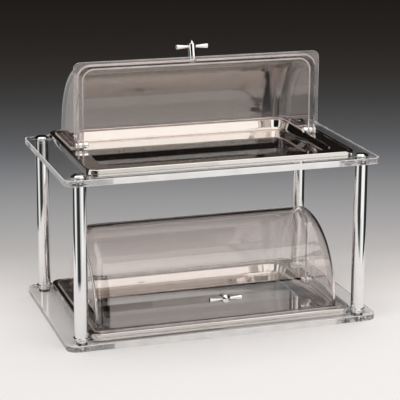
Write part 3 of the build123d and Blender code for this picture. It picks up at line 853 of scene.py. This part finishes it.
def make_gasket():
    """Pale gasket plastic that lets a little light through."""
    material, skin = new_material("gasket plastic", "gasket")
    grain = noise_on(material, 400.0)
    mottled(material, grain, (0.62, 0.62, 0.61), (0.74, 0.74, 0.73))
    worn(material, grain, 0.35, 0.5)
    skin.inputs["Transmission Weight"].default_value = 0.35
    return material


def handle_part(name, shape, tier, material, node):
    """One turned part of the handle, standing on the front cover."""
    obj = object_of(name, mesh_of(name, shape, place=on_cover(tier)), material)
    return kept(obj, f"{tier}_front", node)


gasket_plastic = make_gasket()
seat = turned(eased(ring_of(HANDLE_HOLE, GASKET_RADIUS, COVER_TOP, POST_LOW), 0.2))
post_outside = [
    (POST_BORE, POST_LOW), (POST_RADIUS, POST_LOW), (POST_RADIUS, POST_SHOULDER),
    (TIP_RADIUS, TIP_TOP), (0, TIP_TOP),
]
post_bore = [(0, POST_BORE_TOP), (POST_BORE, POST_BORE_TOP)]
post = turned(post_bore + eased(post_outside, 0.5), 48)
washer = turned(eased(ring_of(HANDLE_HOLE, WASHER_RADIUS, WASHER_LOW, WASHER_TOP), 0.2))
screw_outline = [
    (0, SCREW_HEAD_LOW), (SCREW_HEAD_RADIUS, SCREW_HEAD_LOW), (SCREW_HEAD_RADIUS, WASHER_LOW),
    (HANDLE_SCREW_RADIUS, WASHER_LOW), (HANDLE_SCREW_RADIUS, HANDLE_SCREW_TOP),
    (0, HANDLE_SCREW_TOP),
]
screw = turned(eased(screw_outline, 0.4))
thin, wide = ARM_RADII
arm_low, arm_end = ARM_ENDS
arm = [
    (0, ARM_SPIGOT_END), (ARM_SPIGOT_RADIUS, ARM_SPIGOT_END), (ARM_SPIGOT_RADIUS, arm_low),
    (thin, arm_low), (wide, arm_end - BEVEL_HEIGHT), (wide - BEVEL_DEPTH, arm_end), (0, arm_end),
]
for tier in PLATE_TOPS:
    handle_part(f"{tier}_handle_seat", seat, tier, gasket_plastic, f"{tier}_handle_gasket")
    handle_part(f"{tier}_handle_column", post, tier, chrome, f"{tier}_handle_post")
    handle_part(f"{tier}_handle_ring", washer, tier, chrome, f"{tier}_handle_washer")
    handle_part(f"{tier}_handle_bolt", screw, tier, chrome, f"{tier}_handle_screw")
    lift = on_cover(tier) @ Matrix.Translation((0, 0, COVER_TOP + ARM_HEIGHT))
    both_sides(f"{tier}_handle_crossbar", arm, lift, f"{tier}_front", f"{tier}_handle_arms")


# ---- Counter, light and camera ------------------------------------------------
# A pale counter with painted shade darkening it into a studio behind the stand, under two soft boxes.
# Mirrored light meets the counter's edge, white cards round it and lit walls past it.
YAW, PITCH, ROLL = 17.92, 13.177, 0.213
EYE, LENS, SHIFT = (-0.8909, -2.7685, 1.0253), 136.63, -0.15
COUNTER_RADII = (0, 600, 2500, 9000)
TABLE_HALF, TABLE_MIDDLE, TABLE_EDGE = (0.80, 0.70), 0.08, (0.94, 1.06)
FADE_BEARING = 14.0
# Distance behind the stand in metres, the counter's painted shade there, and how warm it is.
PAINTED_FALLOFF = (
    (-0.50, 0.79, 0.015), (-0.30, 0.81, 0.015), (-0.08, 0.885, 0.02), (0.04, 0.86, 0.025),
    (0.13, 0.775, 0.035), (0.24, 0.66, 0.03), (0.38, 0.52, 0.025), (0.54, 0.45, 0.01),
    (0.90, 0.34, -0.01), (1.11, 0.264, -0.03), (1.35, 0.183, -0.045), (1.61, 0.136, -0.02),
    (2.06, 0.085, 0.03), (2.51, 0.059, 0.12), (3.04, 0.045, 0.20), (3.50, 0.039, 0.23),
    (5.00, 0.028, 0.23),
)
# Bearing in degrees from the camera's side, positive to its right, and the studio's shade.
BEHIND, STUDIO_BLUE = 180, 0.98
STUDIO = (
    (-BEHIND, 0.1), (-160, 0.33), (-135, 0.33), (-118, 0.02), (-95, 0.02), (-84, 0.25),
    (-70, 1.0), (-52, 1.0), (-40, 0.12), (-25, 0.03), (4, 0.03), (14, 0.5), (22, 0.75),
    (45, 1.05), (62, 1.2), (70, 0.5), (78, 0.03), (BEHIND, 0.02),
)


def vector_maths(owner, operation, vector, other=(0.0, 0.0, 0.0)):
    """Vector Math node's result in a material or the world."""
    node = owner.node_tree.nodes.new("ShaderNodeVectorMath")
    node.operation = operation
    node.inputs[1].default_value = other
    owner.node_tree.links.new(vector, node.inputs[0])
    return node.outputs["Value" if operation in ("DOT_PRODUCT", "LENGTH") else "Vector"]


def ramped(owner, value, stops):
    """Colours along a value from 0 to 1, from stops of (place, colour)."""
    ramp = owner.node_tree.nodes.new("ShaderNodeValToRGB")
    elements = ramp.color_ramp.elements
    while len(elements) < len(stops):
        elements.new(0.5)
    for element, (place, color) in zip(elements, stops):
        element.position = place
        element.color = color
    owner.node_tree.links.new(value, ramp.inputs["Fac"])
    return ramp.outputs["Color"]


def once_mirrored(owner):
    """1 for light that metal or plastic has mirrored on its way, otherwise 0."""
    path = owner.node_tree.nodes.new("ShaderNodeLightPath")
    return maths(owner, "MINIMUM", path.outputs["Glossy Depth"], 1.0)


def make_counter():
    """Pale near the stand, darker with distance as painted shade. Mirrored light sees it end at an
    oval edge.
    """
    material = bpy.data.materials.new("pale counter")
    material.use_nodes = True
    nodes, links = material.node_tree.nodes, material.node_tree.links
    skin = nodes["Principled BSDF"]
    where = nodes.new("ShaderNodeTexCoord").outputs["Object"]
    behind = (math.sin(math.radians(FADE_BEARING)), math.cos(math.radians(FADE_BEARING)), 0.0)
    away = vector_maths(material, "DOT_PRODUCT", where, behind)
    near, far = PAINTED_FALLOFF[0][0], PAINTED_FALLOFF[-1][0]
    stops = [
        ((place - near) / (far - near), (shade * (1 + warmth), shade, shade * (1 - warmth), 1))
        for place, shade, warmth in PAINTED_FALLOFF
    ]
    links.new(ramped(material, ranged(material, away, (near, far)), stops), skin.inputs["Base Color"])
    skin.inputs["Roughness"].default_value = 0.7
    skin.inputs["Specular IOR Level"].default_value = 0.1

    from_middle = vector_maths(material, "SUBTRACT", where, (0.0, TABLE_MIDDLE, 0.0))
    scaled = vector_maths(material, "DIVIDE", from_middle, (*TABLE_HALF, 1.0))
    reach = vector_maths(material, "LENGTH", scaled)
    past = ranged(material, reach, TABLE_EDGE, course="SMOOTHSTEP")
    gone = maths(material, "MULTIPLY", past, once_mirrored(material))
    open_air = nodes.new("ShaderNodeBsdfTransparent")
    mixed = blend(material, gone, skin.outputs["BSDF"], open_air.outputs["BSDF"])
    links.new(mixed, nodes["Material Output"].inputs["Surface"])
    return material


def soft_box(name, size, place, aim, glow, tint):
    """Rectangular lamp that shows in metal and plastic but not to the camera."""
    lamp = bpy.data.lights.new(name, "AREA")
    lamp.shape = "RECTANGLE"
    lamp.size, lamp.size_y = size
    lamp.energy = glow * size[0] * size[1] * math.pi
    lamp.color = tint
    obj = bpy.data.objects.new(name, lamp)
    bpy.context.scene.collection.objects.link(obj)
    obj.location = place
    obj.rotation_euler = (Vector(aim) - Vector(place)).to_track_quat("-Z", "Y").to_euler()
    obj.visible_camera = False


def white_card(name, start, end, low, high, glow):
    """Upright glowing card on the counter, there only for light that has been mirrored."""
    material = bpy.data.materials.new(name)
    material.use_nodes = True
    material.cycles.emission_sampling = "NONE"
    nodes, links = material.node_tree.nodes, material.node_tree.links
    nodes.remove(nodes["Principled BSDF"])
    lit = nodes.new("ShaderNodeEmission")
    lit.inputs["Strength"].default_value = glow
    open_air = nodes.new("ShaderNodeBsdfTransparent")
    shown = blend(material, once_mirrored(material), open_air.outputs["BSDF"], lit.outputs["Emission"])
    links.new(shown, nodes["Material Output"].inputs["Surface"])
    card = object_of(name, bpy.data.meshes.new(name), material)
    corners = [(*start, low), (*end, low), (*end, high), (*start, high)]
    card.data.from_pydata(corners, [], [(0, 1, 2, 3)])
    card.visible_shadow = False
    card.visible_diffuse = False


def make_studio():
    """World: soft even light on matt surfaces, and a dark room for all other light.

    Below the horizon, past the counter's edge, mirrored light meets walls with lit panels.
    """
    world = bpy.data.worlds.new("studio")
    world.use_nodes = True
    nodes, links = world.node_tree.nodes, world.node_tree.links
    path = nodes.new("ShaderNodeLightPath")
    direction = nodes.new("ShaderNodeTexCoord").outputs["Generated"]
    turn = math.radians(YAW)
    to_left = vector_maths(world, "DOT_PRODUCT", direction, (-math.cos(turn), math.sin(turn), 0.0))
    to_eye = vector_maths(world, "DOT_PRODUCT", direction, (-math.sin(turn), -math.cos(turn), 0.0))
    bearing = maths(world, "ARCTAN2", to_left, to_eye)
    round_the_room = ranged(world, bearing, (math.radians(BEHIND), math.radians(-BEHIND)))
    stops = [
        ((angle + BEHIND) / (2 * BEHIND), (shade, shade, shade * STUDIO_BLUE, 1))
        for angle, shade in STUDIO
    ]
    walls = ramped(world, round_the_room, stops)
    height = nodes.new("ShaderNodeSeparateXYZ")
    links.new(direction, height.inputs["Vector"])
    below = maths(world, "LESS_THAN", height.outputs["Z"], 0.0)
    around = nodes.new("ShaderNodeMix")
    around.data_type = "RGBA"
    around.inputs["A"].default_value = (0.013, 0.011, 0.010, 1)
    links.new(maths(world, "MULTIPLY", below, once_mirrored(world)), around.inputs["Factor"])
    links.new(walls, around.inputs["B"])
    room = nodes.new("ShaderNodeBackground")
    links.new(around.outputs["Result"], room.inputs["Color"])
    ambient = nodes["Background"]
    ambient.inputs["Color"].default_value = (0.5, 0.5, 0.52, 1)
    is_diffuse = path.outputs["Is Diffuse Ray"]
    mixed = blend(world, is_diffuse, room.outputs["Background"], ambient.outputs["Background"])
    links.new(mixed, nodes["World Output"].inputs["Surface"])
    return world


counter_shape = turned([(radius, 0) for radius in COUNTER_RADII], 64)
object_of("counter", mesh_of("counter", counter_shape), make_counter())
soft_box("overhead", (2.8, 2.3), (-0.35, -0.45, 2.0), (-0.35, -0.45, 0), 1.65, tint=(1.0, 0.97, 0.94))
soft_box("front", (1.6, 1.2), (0.65, -1.4, 1.22), (0.65, 0, 1.22), 1.4, tint=(1.0, 0.95, 0.90))
white_card("left card", (-1.10, -0.53), (-1.17, -0.04), 0.1, 1.3, 1.2)
white_card("front card", (-0.55, -0.90), (0.90, -0.90), 0.22, 0.36, 1.3)
white_card("low card", (0.23, -0.90), (0.90, -0.90), 0.0, 0.22, 1.1)
white_card("back card", (0.15, 1.278), (1.05, 0.987), 0.41, 0.57, 0.30)

scene = bpy.context.scene
scene.world = make_studio()
scene.view_settings.view_transform = "Standard"
scene.cycles.max_bounces = 32
scene.cycles.glossy_bounces = 16
scene.cycles.transmission_bounces = 24
scene.cycles.transparent_max_bounces = 32
eye = bpy.data.objects.new("eye", bpy.data.cameras.new("eye"))
scene.collection.objects.link(eye)
scene.camera = eye
eye.location = EYE
look = Matrix.Rotation(math.radians(-YAW), 4, "Z") @ Matrix.Rotation(math.radians(90 - PITCH), 4, "X")
eye.rotation_euler = (look @ Matrix.Rotation(math.radians(ROLL), 4, "Z")).to_euler()
eye.data.lens = LENS
eye.data.sensor_width = 36.0
eye.data.shift_y = SHIFT
eye.data.clip_end = 50.0
